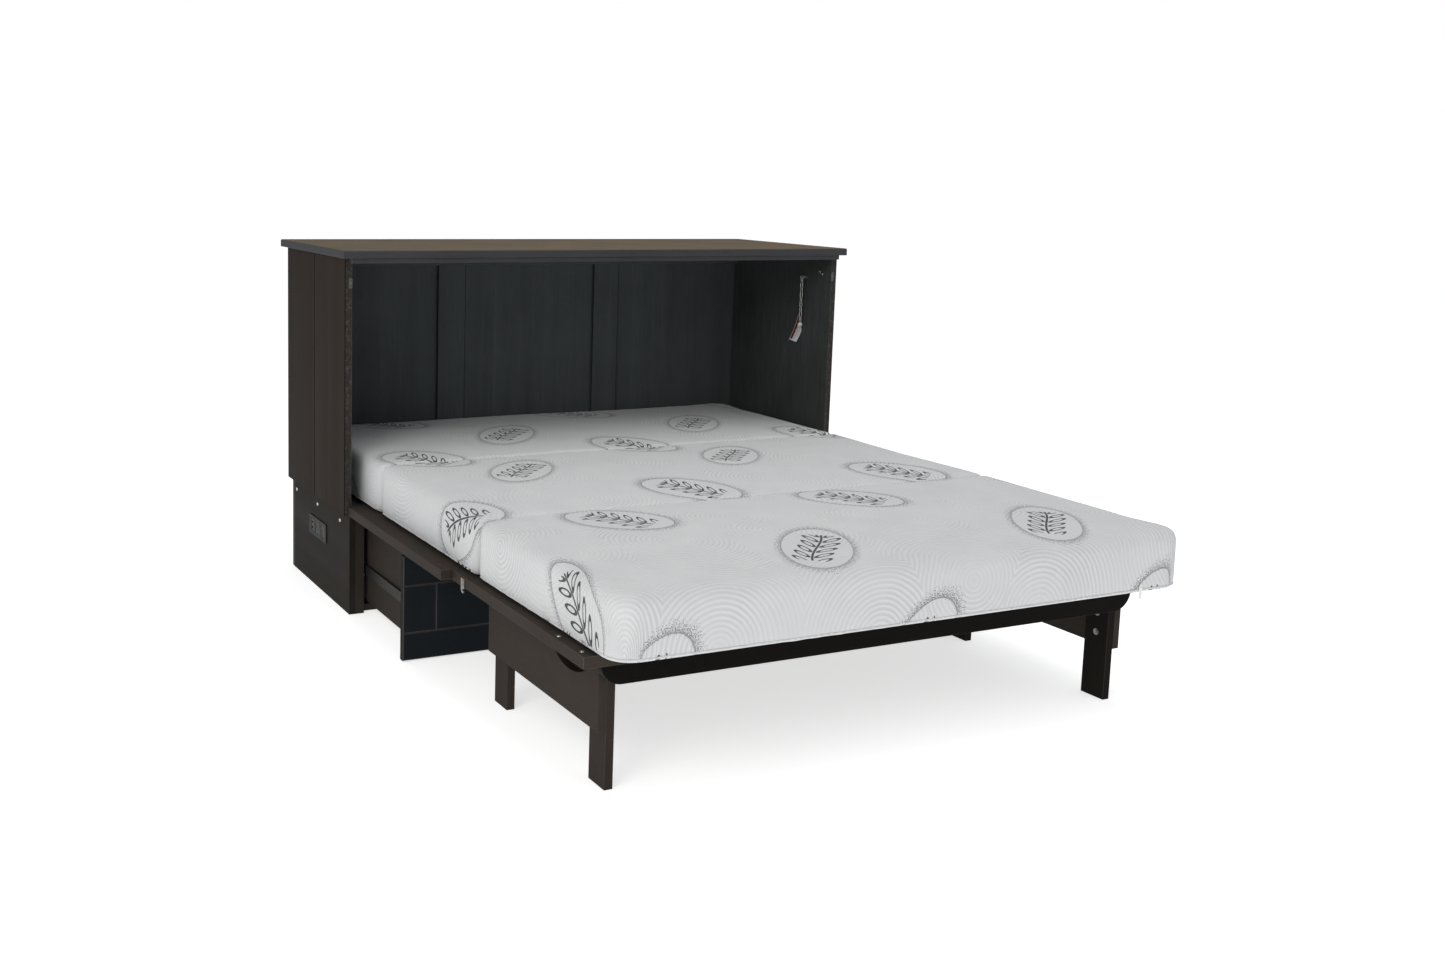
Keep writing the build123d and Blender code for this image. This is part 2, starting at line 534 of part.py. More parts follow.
with BuildPart() as front_stiles:
    slab(DRAWER_HALF - STILE_W, DRAWER_HALF, FRONT_Y, FRONT_Y + LIP, FIELD_Z0, FIELD_Z1)
    chamfer(front_stiles.faces().sort_by(Axis.Y)[0].edges(), GROOVE)
    mirror(about=Plane.YZ)
save(front_stiles, "drawer_front_stiles")

BOX_Y0 = FRONT_Y + DRAWER_T
with BuildPart() as drawer_sides:
    slab(BOX_HALF - BOX_T, BOX_HALF, BOX_Y0, BOX_Y0 + BOX_L, BOX_Z0, BOX_Z1)
    fillet(drawer_sides.faces().sort_by(Axis.Z)[-1].edges().filter_by(Axis.Y), 3.0)
    mirror(about=Plane.YZ)
save(drawer_sides, "drawer_sides")

with BuildPart() as drawer_back:
    slab(-BOX_HALF + BOX_T, BOX_HALF - BOX_T, BOX_Y0 + BOX_L - BOX_T, BOX_Y0 + BOX_L,
         BOX_Z0, BOX_Z1 - 12)
save(drawer_back, "drawer_back")

with BuildPart() as drawer_bottom:
    slab(-BOX_HALF + BOX_T, BOX_HALF - BOX_T, BOX_Y0, BOX_Y0 + BOX_L - BOX_T,
         BOX_Z0 + 8, BOX_Z0 + 14)
save(drawer_bottom, "drawer_bottom")

with BuildPart() as slides:
    slab(BOX_HALF, BOX_HALF + 6.5, BOX_Y0 + 6, BOX_Y0 + 506, RUN_Z - 14, RUN_Z + 14)
    mirror(about=Plane.YZ)
save(slides, "drawer_slides")

# ---- mattress in three sections -------------------------------------------------------
MAT_Z = DECK_Z + 4.0
MAT_SOFT = 26.0
MAT_GAP = 3.0
for place, label in enumerate(("mattress_front", "mattress_middle", "mattress_back")):
    start = FACE - MAT_FRONT + place * MAT_L
    with BuildPart() as section:
        slab(-MAT_HALF, MAT_HALF, start + MAT_GAP, start + MAT_L, MAT_Z, MAT_Z + MAT_T)
        fillet(section.edges(), MAT_SOFT)
    save(section, label)

ZIP_X, ZIP_T = 605.0, 2.0
with BuildPart() as zipper_pull:
    with BuildSketch(Plane.XZ.offset(-(FACE - MAT_FRONT + ZIP_T))):
        with Locations((ZIP_X, MAT_Z + 3)):
            SlotOverall(34, 9, rotation=90)
        with Locations((ZIP_X, MAT_Z + 14)):
            Circle(2.2, mode=Mode.SUBTRACT)
    extrude(amount=ZIP_T)
save(zipper_pull, "zipper_pull")

# ---- stay chain inside the right-hand side ---------------------------------------------
CHAIN_Y, CHAIN_TOP = FACE + 137.0, 914.0
CHAIN_X = INNER - 14.0
LINK_COUNT, LINK_PITCH, WIRE_R, LINK_HALF_W = 9, 15.6, 1.5, 3.9
EYE_R = 5.0


def link(x, z, across):
    """One chain link, hanging along Z from z, its ring in the XZ or the YZ plane."""
    straight = LINK_PITCH - 2 * LINK_HALF_W + 2 * WIRE_R
    flat = Vector(1, 0, 0) if across else Vector(0, 1, 0)
    top = Vector(x, CHAIN_Y, z - LINK_HALF_W + WIRE_R)
    low = top - Vector(0, 0, straight)
    for centre, up in ((top, 1), (low, -1)):
        start = Plane(origin=centre + flat * LINK_HALF_W, z_dir=(0, 0, 1))
        with BuildSketch(start) as wire:
            Circle(WIRE_R)
        turn = Axis(centre, flat.cross(Vector(0, 0, up)))
        revolve(wire.sketch, axis=turn, revolution_arc=180)
    for way in (1, -1):
        with BuildSketch(Plane(origin=low + flat * LINK_HALF_W * way, z_dir=(0, 0, 1))) as wire:
            Circle(WIRE_R)
        extrude(wire.sketch, amount=straight)


with BuildPart() as anchor:
    rod_x(INNER - 1.25, CHAIN_Y, CHAIN_TOP, 9.0, 2.5)
    rod_x(INNER - 5.5, CHAIN_Y, CHAIN_TOP, 2.0, 7.0)
    with Locations(Location((CHAIN_X, CHAIN_Y, CHAIN_TOP), (90, 0, 0))):
        Torus(EYE_R, WIRE_R)
save(anchor, "chain_anchor")

LINK_TOP = CHAIN_TOP - EYE_R + LINK_HALF_W - WIRE_R
with BuildPart() as chain:
    for index in range(LINK_COUNT):
        link(CHAIN_X, LINK_TOP - index * LINK_PITCH, index % 2 == 1)
save(chain, "chain_links")

CLIP_Z = LINK_TOP - LINK_COUNT * LINK_PITCH - 11.2
with BuildPart() as clip:
    with Locations((CHAIN_X, CHAIN_Y, CLIP_Z)):
        Sphere(8.0)
save(clip, "chain_clip")

TAG_W, TAG_H, TAG_T = 34.0, 76.0, 0.8
with BuildPart() as tag:
    with BuildSketch(Plane.XY.offset(CLIP_Z - 8 - TAG_H)):
        with BuildLine():
            bowed = ThreePointArc((CHAIN_X - TAG_W / 2, CHAIN_Y + 6), (CHAIN_X, CHAIN_Y),
                                  (CHAIN_X + TAG_W / 2 - 8, CHAIN_Y + 5))
            offset(bowed, amount=TAG_T, side=Side.LEFT, kind=Kind.ARC)
        make_face()
    extrude(amount=TAG_H)
save(tag, "chain_tag")

print("front plane of the case at y =", FACE)
for text, value in (("panel axis", (0, AXLE_Y, AXLE_Z)), ("fold axis", (0, FOLD_Y, FOLD_Z)),
                    ("leg axis", (LEG_AXIS_X, 0, LEG_AXIS_Z)), ("wall", (0, WALL_Y, 0)),
                    ("chain", (CHAIN_X, CHAIN_Y, CHAIN_TOP - EYE_R))):
    print(text, *[round(number, 3) for number in value])
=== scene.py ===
"""Looks, mattress covers, light and camera for the cabinet wall bed, shown open."""
import math

import bmesh
import bpy
import numpy as np
from mathutils import Matrix, Vector
from mathutils.bvhtree import BVHTree


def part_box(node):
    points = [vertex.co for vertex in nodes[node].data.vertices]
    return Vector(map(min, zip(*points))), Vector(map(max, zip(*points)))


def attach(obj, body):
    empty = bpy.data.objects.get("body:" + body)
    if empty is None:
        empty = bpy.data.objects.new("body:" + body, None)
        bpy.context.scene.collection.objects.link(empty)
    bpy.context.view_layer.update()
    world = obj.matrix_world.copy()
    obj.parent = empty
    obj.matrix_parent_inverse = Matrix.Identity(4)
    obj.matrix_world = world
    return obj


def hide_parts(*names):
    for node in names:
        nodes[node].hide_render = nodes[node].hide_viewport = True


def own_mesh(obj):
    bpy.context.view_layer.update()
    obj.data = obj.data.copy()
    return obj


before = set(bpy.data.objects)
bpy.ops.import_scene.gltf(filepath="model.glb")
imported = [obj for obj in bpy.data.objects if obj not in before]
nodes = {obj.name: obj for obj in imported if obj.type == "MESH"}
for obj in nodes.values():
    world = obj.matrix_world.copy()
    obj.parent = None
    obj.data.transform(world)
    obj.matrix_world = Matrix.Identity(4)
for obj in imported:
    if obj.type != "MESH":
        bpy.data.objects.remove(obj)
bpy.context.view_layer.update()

scene = bpy.context.scene


# ---- materials ----------------------------------------------------------------------
def srgb(r, g, b):
    """A colour given on the usual 0 to 255 scale, as linear light."""
    def linear(c):
        c /= 255
        return c / 12.92 if c <= 0.04045 else ((c + 0.055) / 1.055) ** 2.4
    return (linear(r), linear(g), linear(b), 1.0)


def shade(colour, amount):
    return tuple(min(1.0, c * amount) for c in colour[:3]) + (1.0,)


class Finish:
    """A node material, with short calls for the nodes that the finishes share."""

    def __init__(self, name):
        self.material = bpy.data.materials.new(name)
        self.material.use_nodes = True
        self.tree = self.material.node_tree
        self.shader = self.tree.nodes["Principled BSDF"]
        self.where = self.tree.nodes.new("ShaderNodeTexCoord")

    def put(self, socket, value):
        if isinstance(value, bpy.types.NodeSocket):
            self.tree.links.new(value, socket)
        else:
            socket.default_value = value

    def add(self, kind, *values, **settings):
        node = self.tree.nodes.new("ShaderNode" + kind)
        for key, value in settings.items():
            setattr(node, key, value)
        for socket, value in zip(node.inputs, values):
            if value is not None:
                self.put(socket, value)
        return node

    def math(self, operation, *values):
        return self.add("Math", *values, operation=operation).outputs[0]

    def vector(self, operation, *values):
        node = self.add("VectorMath", *values, operation=operation)
        return node.outputs["Value" if operation == "LENGTH" else "Vector"]

    def stretch(self, source, scale):
        return self.vector("MULTIPLY", source, scale)

    def noise(self, source, scale, detail=3.0, rough=0.5, distortion=0.0):
        node = self.tree.nodes.new("ShaderNodeTexNoise")
        for name, value in (("Vector", source), ("Scale", scale), ("Detail", detail),
                            ("Roughness", rough), ("Distortion", distortion)):
            self.put(node.inputs[name], value)
        return node.outputs[0]

    def span(self, value, low, high, to_low=0.0, to_high=1.0):
        node = self.tree.nodes.new("ShaderNodeMapRange")
        for name, v in (("Value", value), ("From Min", low), ("From Max", high),
                        ("To Min", to_low), ("To Max", to_high)):
            self.put(node.inputs[name], v)
        return node.outputs[0]

    def blend(self, factor, a, b):
        node = self.tree.nodes.new("ShaderNodeMix")
        node.data_type = "RGBA"
        self.put(node.inputs[0], factor)
        self.put(node.inputs[6], a)
        self.put(node.inputs[7], b)
        return node.outputs[2]

    def split(self, source):
        return self.add("SeparateXYZ", source).outputs

    def bump(self, height, strength, distance):
        node = self.tree.nodes.new("ShaderNodeBump")
        node.inputs["Strength"].default_value = strength
        node.inputs["Distance"].default_value = distance
        self.put(node.inputs["Height"], height)
        self.put(self.shader.inputs["Normal"], node.outputs[0])

    def set(self, **values):
        for name, value in values.items():
            self.put(self.shader.inputs[name.replace("_", " ")], value)
        return self.material


def eased_edges(f):
    """1 on the slanted and rounded edges of a board, 0 on its flat faces."""
    x, y, z = f.split(f.vector("ABSOLUTE", f.where.outputs["Normal"]))
    flat = f.math("MAXIMUM", f.math("MAXIMUM", x, y), z)
    return f.span(flat, 0.99, 0.86)


GRAIN = {"x": (0.035, 1.0, 1.0), "y": (1.0, 0.035, 1.0), "z": (1.0, 1.0, 0.035)}
# the last colour is painted shade, laid near-black on the eased edges of grooved boards
RUBBED, WORN, GROOVE_SHADE = srgb(104, 99, 92), srgb(104, 104, 106), srgb(12, 12, 12)


def stained(name, colour, along, edge=0.0, painted_top_sheen=None, front_wear=None, inner_face=None,
            groove=0.0, gloss=0.58, spec=0.03):
    """Stained timber: long fibres and pores one way, blotches of stain, paler edges; optionally a
    painted warm sheen on upward faces, painted light on the sides' inner faces and painted shade
    on grooved edges.
    """
    f = Finish(name)
    place = f.where.outputs["Object"]
    run = f.stretch(place, GRAIN[along])
    figure = f.noise(run, 14.0, 4.0, 0.55, 0.6)
    fibre = f.noise(run, 240.0, 3.0, 0.6)
    pores = f.span(f.noise(run, 620.0, 2.0, 0.5), 0.60, 0.72)
    blotch = f.noise(place, 5.0, 3.0, 0.5)
    body = f.blend(f.span(figure, 0.3, 0.7), shade(colour, 0.80), shade(colour, 1.16))
    # painted sheen: upward faces take a warmer, paler tone that stands for warm light reflected
    # off the top
    if painted_top_sheen:
        up = f.split(f.where.outputs["Normal"])[2]
        painted_sheen = f.blend(f.span(figure, 0.3, 0.7), shade(painted_top_sheen, 0.9), shade(painted_top_sheen, 1.08))
        body = f.blend(f.span(up, 0.5, 0.95), body, painted_sheen)
    # painted light: the inner faces of the sides take the blue-grey inside tone, standing for the
    # cooler, dimmer light inside the case
    if inner_face:
        depth = f.math("ABSOLUTE", f.split(place)[0])
        body = f.blend(f.span(depth, inner_face + 0.0012, inner_face + 0.0004), body,
                       f.blend(figure, shade(INSIDE, 0.85), shade(INSIDE, 1.1)))
    body = f.blend(f.span(fibre, 0.35, 0.65, 0.0, 0.30), body, shade(colour, 0.62))
    body = f.blend(f.math("MULTIPLY", pores, 0.35), body, shade(colour, 0.40))
    body = f.blend(f.span(blotch, 0.35, 0.7, 0.0, 0.35), body, shade(colour, 1.25))
    if edge:
        rub = f.math("MULTIPLY", eased_edges(f), f.span(blotch, 0.3, 0.7, 0.5 * edge, edge))
        body = f.blend(rub, body, RUBBED)
    # painted shade on the eased edges of grooved boards
    if groove:
        body = f.blend(f.math("MULTIPLY", eased_edges(f), groove), body, GROOVE_SHADE)
    if front_wear:
        y = f.split(place)[1]
        near = f.span(y, front_wear + 0.0010, front_wear + 0.0002)
        rough_edge = f.span(f.noise(place, 90.0, 5.0, 0.7), 0.50, 0.66)
        rub = f.math("MULTIPLY", near, f.math("ADD", 0.12, f.math("MULTIPLY", rough_edge, 0.3)))
        body = f.blend(rub, body, WORN)
    f.bump(f.math("ADD", fibre, f.math("MULTIPLY", pores, -0.6)), 0.22, 0.0006)
    return f.set(Base_Color=body, Roughness=f.span(figure, 0.3, 0.7, gloss - 0.05, gloss + 0.08),
                 Specular_IOR_Level=spec)


def plain_timber(name, colour, along):
    f = Finish(name)
    run = f.stretch(f.where.outputs["Object"], GRAIN[along])
    figure = f.noise(run, 22.0, 5.0, 0.6, 1.2)
    body = f.blend(f.span(figure, 0.3, 0.7), shade(colour, 0.75), shade(colour, 1.15))
    f.bump(figure, 0.15, 0.0005)
    return f.set(Base_Color=body, Roughness=0.6, Specular_IOR_Level=0.3)


def metal(name, colour, rough):
    f = Finish(name)
    place = f.where.outputs["Object"]
    brushed = f.noise(f.stretch(place, (1.0, 0.15, 1.0)), 900.0, 2.0)
    tarnish = f.noise(place, 60.0, 4.0, 0.6)
    body = f.blend(f.span(tarnish, 0.35, 0.75), colour, shade(colour, 0.72))
    f.bump(brushed, 0.08, 0.0002)
    return f.set(Base_Color=body, Metallic=1.0,
                 Roughness=f.span(tarnish, 0.3, 0.7, rough - 0.07, rough + 0.12))


def plastic(name, colour, rough, grain=0.1, spec=0.5):
    f = Finish(name)
    place = f.where.outputs["Object"]
    flow = f.noise(place, 35.0, 3.0)
    body = f.blend(f.span(flow, 0.3, 0.7), shade(colour, 0.93), shade(colour, 1.04))
    f.bump(f.noise(place, 1800.0, 2.0), grain, 0.0002)
    return f.set(Base_Color=body, Roughness=f.span(flow, 0.3, 0.7, rough - 0.04, rough + 0.06),
                 Specular_IOR_Level=spec)


def card(name):
    """A coated card tag with a dark red band down one side and lines of grey dashes."""
    f = Finish(name)
    uv = f.add("UVMap", uv_map="card").outputs[0]
    across, along, _ = f.split(uv)

    def between(value, low, high):
        return f.math("MULTIPLY", f.math("GREATER_THAN", value, low),
                      f.math("LESS_THAN", value, high))

    band = f.math("MULTIPLY", between(across, 0.05, 0.38), between(along, 0.05, 0.95))
    row = f.math("FRACT", f.math("MULTIPLY", across, 9.0))
    dash = f.math("GREATER_THAN", f.noise(f.stretch(uv, (9.0, 30.0, 1.0)), 1.0, 1.0), 0.5)
    ink = f.math("MULTIPLY", f.math("MULTIPLY", between(row, 0.3, 0.65), dash),
                 f.math("MULTIPLY", between(across, 0.46, 0.92), between(along, 0.1, 0.9)))
    body = f.blend(f.math("MULTIPLY", ink, 0.6), srgb(206, 206, 210), srgb(96, 94, 98))
    body = f.blend(band, body, f.blend(f.noise(uv, 6.0), srgb(104, 14, 26), srgb(126, 22, 34)))
    return f.set(Base_Color=body, Roughness=0.35)


# ---- mattress cover: print and quilting ------------------------------------------------
REPEAT = 0.650                   # distance between two medallions of a row
FAN, RIPPLE = 0.30, 0.0115       # size of a fan of ripples, and from one ripple to the next
RIGHT_LEAN = (0.96, 0.166, 0.086)    # angle of the long axis, half length, half width
LEFT_LEAN = (2.27, 0.146, 0.098)
CREAM, INK = srgb(216, 217, 218), srgb(18, 18, 22)
# rows of medallions from the head to the foot: height along the bed, start, lean
ROWS = ((0.892, 0.118, LEFT_LEAN), (0.578, 0.390, RIGHT_LEAN), (0.333, 0.038, LEFT_LEAN),
        (0.081, 0.211, RIGHT_LEAN), (-0.256, 0.527, LEFT_LEAN), (-0.491, 0.193, LEFT_LEAN),
        (-0.863, 0.473, RIGHT_LEAN), (-1.236, 0.620, RIGHT_LEAN))


def medallions(f, spot):
    """Place in the nearest medallion (long way, short way) and distance from its middle."""
    best, nearest = None, None
    for y, x, (angle, long_half, short_half) in ROWS:
        moved = f.vector("SUBTRACT", spot, (x, y, 0.0))
        moved = f.vector("WRAP", moved, (REPEAT / 2, 9.0, 1.0), (-REPEAT / 2, -9.0, -1.0))
        turned = f.add("VectorRotate", moved, rotation_type="Z_AXIS")
        turned.inputs["Angle"].default_value = -angle
        local = f.stretch(turned.outputs[0], (1 / long_half, 1 / short_half, 0.0))
        far = f.vector("LENGTH", local)
        if best is None:
            best, nearest = far, local
            continue
        pick = f.tree.nodes.new("ShaderNodeMix")
        pick.data_type = "VECTOR"
        f.put(pick.inputs[0], f.math("LESS_THAN", far, best))
        f.put(pick.inputs[4], nearest)
        f.put(pick.inputs[5], local)
        nearest, best = pick.outputs[1], f.math("MINIMUM", far, best)
    return nearest, best


def sprig(f, local):
    """Ink lines of a leafy sprig: a curved stem with pairs of outlined leaves."""
    a, b, _ = f.split(local)
    bend = f.math("MULTIPLY", f.math("SINE", f.math("MULTIPLY", a, 3.2)), 0.12)
    off = f.math("ABSOLUTE", f.math("ADD", b, bend))
    stem = f.math("LESS_THAN", off, 0.030)
    step = f.math("WRAP", f.math("SUBTRACT", a, f.math("MULTIPLY", off, 0.55)), 0.12, -0.12)
    leaf_x = f.math("DIVIDE", f.math("SUBTRACT", off, 0.27), 0.22)
    leaf_y = f.math("DIVIDE", step, 0.070)
    leaf = f.math("SQRT", f.math("ADD", f.math("MULTIPLY", leaf_x, leaf_x),
                                 f.math("MULTIPLY", leaf_y, leaf_y)))
    outline = f.math("LESS_THAN", f.math("ABSOLUTE", f.math("SUBTRACT", leaf, 0.84)), 0.22)
    drawn = f.math("MAXIMUM", stem, outline)
    return f.math("MULTIPLY", drawn, f.math("LESS_THAN", f.math("ABSOLUTE", a), 0.60))


def quilted_cover(name, printed=True):
    """Off-white stretch knit, embossed with fans of ripples whose troughs carry painted shade, and
    printed with medallions.
    """
    f = Finish(name)
    uv = f.add("UVMap", uv_map="cloth").outputs[0]
    drift = f.noise(uv, 9.0, 2.0)
    fans = f.tree.nodes.new("ShaderNodeTexVoronoi")
    fans.voronoi_dimensions = "2D"
    fans.inputs["Scale"].default_value = 1 / FAN
    fans.inputs["Randomness"].default_value = 0.8
    f.put(fans.inputs["Vector"], uv)
    reach = f.math("ADD", f.math("MULTIPLY", fans.outputs["Distance"], FAN),
                   f.math("MULTIPLY", drift, 0.010))
    ripple = f.math("SINE", f.math("MULTIPLY", reach, 2 * math.pi / RIPPLE))
    knit = f.noise(uv, 700.0, 2.0, 0.6)
    patch = f.span(f.noise(uv, 5.0, 2.0), 0.35, 0.62, 0.25, 1.0)
    ridge = f.math("MULTIPLY", ripple, patch)
    # painted shade: the troughs of the embossed ripples are darkened
    cloth = f.blend(f.span(ridge, -1.0, 1.0, 0.40, 0.0), CREAM, srgb(172, 173, 175))
    cloth = f.blend(f.span(drift, 0.3, 0.7, 0.0, 0.25), cloth, srgb(226, 226, 224))
    if printed:
        local, far = medallions(f, uv)
        grain = f.noise(uv, 330.0, 1.0, 0.5)
        density = f.math("MULTIPLY", f.span(far, 0.86, 0.92), f.span(far, 1.12, 0.94))
        thick = f.math("ADD", grain, f.math("MULTIPLY", density, 0.19))
        dots = f.math("GREATER_THAN", thick, 0.675)
        dots = f.math("MULTIPLY", dots, f.math("GREATER_THAN", density, 0.02))
        rim = f.math("LESS_THAN", f.math("ABSOLUTE", f.math("SUBTRACT", far, 0.90)), 0.013)
        speck = f.math("MAXIMUM", f.math("MULTIPLY", dots, 0.66), f.math("MULTIPLY", rim, 0.55))
        cloth = f.blend(speck, cloth, srgb(72, 72, 80))
        cloth = f.blend(f.math("MULTIPLY", sprig(f, local), 0.92), cloth, INK)
    f.bump(f.math("ADD", ridge, f.math("MULTIPLY", knit, 0.35)), 0.55, 0.0011)
    return f.set(Base_Color=cloth, Roughness=0.88, Specular_IOR_Level=0.25,
                 Sheen_Weight=0.15)


# One dark stain throughout: the tints per board stand for how light falls, warm on the left-facing
# sides, cool slate on the front edges, blue-grey inside the case and on the drawer front, paler
# taupe on the decks and legs; they are painted light and shade.
ESPRESSO, TAUPE, SLATE = srgb(42, 34, 27), srgb(60, 54, 49), srgb(62, 62, 64)
INSIDE, BLUISH = srgb(78, 82, 83), srgb(28, 32, 36)
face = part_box("left_side_front")[0].y
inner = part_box("right_side_front")[0].x
finishes = {
    # painted sheen: the top's upper face gets a warmer colour than its edges
    ("top_panel",): stained("top_timber", SLATE, "x", 0.25, painted_top_sheen=srgb(110, 94, 68), spec=0.08),
    # painted light: a paler copy of the top's slate for the header, which sits in the shade under
    # the top
    ("top_header",): stained("header_timber", shade(SLATE, 1.15), "x", 0.3),
    ("left_side_front", "right_side_front"):
        stained("side_front_timber", ESPRESSO, "z", front_wear=face, inner_face=inner, groove=0.8),
    ("left_side_rear", "right_side_rear"):
        stained("side_timber", shade(ESPRESSO, 0.92), "z", inner_face=inner, groove=0.8),
    ("back_panels", "back_battens"): stained("back_board", INSIDE, "z", gloss=0.55, groove=0.8),
    ("back_top_rail", "case_floor", "base_back"): stained("inner_timber", INSIDE, "x"),
    # painted shade: a much darker copy of the deck stain for the left-facing base sides
    ("base_sides",): stained("base_timber", shade(TAUPE, 0.46), "y"),
    ("base_front_posts",): stained("post_timber", shade(TAUPE, 0.8), "z"),
    ("base_front_rail", "base_stretcher"): stained("rail_timber", shade(TAUPE, 0.8), "x"),
    ("front_panel_deck", "foot_deck", "front_panel_rails", "front_panel_fields"):
        stained("deck_timber", TAUPE, "x", 0.55),
    # painted shade: a near-black copy of the deck stain
    ("front_rail",): stained("foot_rail_timber", shade(TAUPE, 0.17), "x", 0.2),
    ("left_apron", "right_apron"): stained("apron_timber", shade(TAUPE, 0.92), "y", 0.3),
    ("left_legs",): stained("left_leg_timber", shade(TAUPE, 0.85), "z", 0.3),
    # painted shade: the right legs take a much darker copy of the stain than the left legs
    ("right_legs",): stained("right_leg_timber", shade(TAUPE, 0.28), "z", 0.3),
    # painted shade: the drawer front, under the deck, takes a dark blue-grey copy of the stain
    ("drawer_front", "drawer_front_rails"): stained("drawer_timber", BLUISH, "x", 0.45),
    ("drawer_front_stiles",): stained("drawer_stile_timber", BLUISH, "z", 0.45),
    ("drawer_sides",): stained("drawer_side_timber", shade(TAUPE, 0.74), "y", 0.3),
    ("drawer_back", "floor_bearers"): plain_timber("carcass_timber", srgb(148, 128, 104), "x"),
    ("runner_packers",): plain_timber("packer_timber", srgb(120, 102, 84), "y"),
    ("drawer_bottom",): plain_timber("drawer_board", srgb(70, 64, 58), "y"),
    ("outlet_plate", "outlet_box"): plastic("outlet_plastic", srgb(20, 20, 22), 0.5, spec=0.12),
    ("outlet_sockets",): plastic("socket_plastic", srgb(12, 12, 14), 0.4, spec=0.12),
    ("chain_clip",): plastic("clip_plastic", srgb(226, 224, 220), 0.25, 0.03),
    ("drawer_slides",): plastic("painted_steel", srgb(36, 34, 31), 0.5, spec=0.15),
    ("catches",): metal("catch_steel", srgb(104, 104, 104), 0.42),
    ("chain_anchor", "chain_links", "case_screws", "deck_screws"):
        metal("bright_steel", srgb(196, 194, 190), 0.28),
}
zinc = metal("zinc_steel", srgb(150, 148, 144), 0.38)
finish_of = {node: finish for group, finish in finishes.items() for node in group}
for name, node in nodes.items():
    node.data.materials.clear()
    node.data.materials.append(finish_of.get(name, zinc))

cover_cloth = quilted_cover("quilted_cover")
welt_cloth = quilted_cover("welt_cloth", printed=False)
pull_plastic = plastic("pull_plastic", srgb(236, 235, 230), 0.28, 0.03)

# ---- mattress covers -------------------------------------------------------------------
CELL = 0.0125
FREE_CORNER, SEWN_CORNER = 0.062, 0.026
TOP_R, SEWN_TOP_R, LOW_R = 0.026, 0.015, 0.010
MOST_SWELL = 0.009               # furthest that the cloth solver may move a point
TOP_ROOM = 0.0045                # height left above the start shape for the cover to swell
SEAM_LAP, REST_DROP = 0.0010, 0.0025
WELT_R, WELT_RISE = 0.0024, 0.0075


def lattice(counts):
    """Corners and quads of a box's skin, as whole-number places in a grid."""
    index, spots, quads = {}, [], []

    def at(spot):
        if spot not in index:
            index[spot] = len(spots)
            spots.append(spot)
        return index[spot]

    for axis in range(3):
        u, v = [k for k in range(3) if k != axis]
        for end in (0, counts[axis]):
            for i in range(counts[u]):
                for j in range(counts[v]):
                    ring = []
                    for di, dj in ((0, 0), (1, 0), (1, 1), (0, 1)):
                        spot = [0, 0, 0]
                        spot[axis], spot[u], spot[v] = end, i + di, j + dj
                        ring.append(at(tuple(spot)))
                    flip = (end == 0) != (axis == 1)
                    quads.append(ring[::-1] if flip else ring)
    return np.array(spots, float), quads


def soft_block(low, high, foot_sewn, head_sewn):
    """Skin of a foam block with rounded edges, and where each point lies on flat cloth."""
    size = high - low
    counts = [max(4, round(s / CELL)) for s in size]
    spots, quads = lattice(counts)
    half, middle = size / 2, (low + high) / 2
    p = (spots / np.array(counts) * 2 - 1) * half
    toward_foot = p[:, 1] < 0
    sewn = np.where(toward_foot, foot_sewn, head_sewn)
    corner = np.where(sewn, SEWN_CORNER, FREE_CORNER)
    inner = np.stack([half[0] - corner, half[1] - corner], 1)
    core = np.clip(p[:, :2], -inner, inner)
    out = p[:, :2] - core
    square, round_ = np.abs(out).max(1), np.hypot(out[:, 0], out[:, 1])
    way = out / np.maximum(round_, 1e-9)[:, None]
    reach = square                                   # distance out from the core
    end_share = way[:, 1] ** 2
    top_r = TOP_R * (1 - end_share) + np.where(sewn, SEWN_TOP_R, TOP_R) * end_share
    z = p[:, 2].copy()
    for sign, radius in ((1, top_r), (-1, np.full(len(p), LOW_R))):
        e1 = reach - (corner - radius)
        e2 = sign * z - (half[2] - radius)
        both = (e1 > 0) & (e2 > 0) & (round_ > 1e-9)
        keep = np.maximum(e1, e2) / np.maximum(np.hypot(e1, e2), 1e-9)
        reach = np.where(both, corner - radius + e1 * keep, reach)
        z = np.where(both, sign * (half[2] - radius + e2 * keep), z)
    flat = core + way * reach[:, None]
    shape = np.column_stack([flat, z]) + middle
    # the cloth runs over the edge and on down the sides, so its print does too
    drop = np.clip(half[2] - z, 0, None)
    side = np.clip(reach / np.maximum(corner, 1e-9), 0, 1)[:, None]
    cloth = shape[:, :2] + way * drop[:, None] * np.where(side > 0.35, 1.0, 0.0)
    return shape, quads, cloth


def mesh_object(name, points, faces):
    mesh = bpy.data.meshes.new(name)
    mesh.from_pydata([tuple(q) for q in points], [], faces)
    mesh.update()
    piece = bpy.data.objects.new(name, mesh)
    scene.collection.objects.link(piece)
    return piece


def coordinates(mesh):
    co = np.zeros(len(mesh.vertices) * 3, np.float32)
    mesh.vertices.foreach_get("co", co)
    return co.reshape(-1, 3).astype(float)


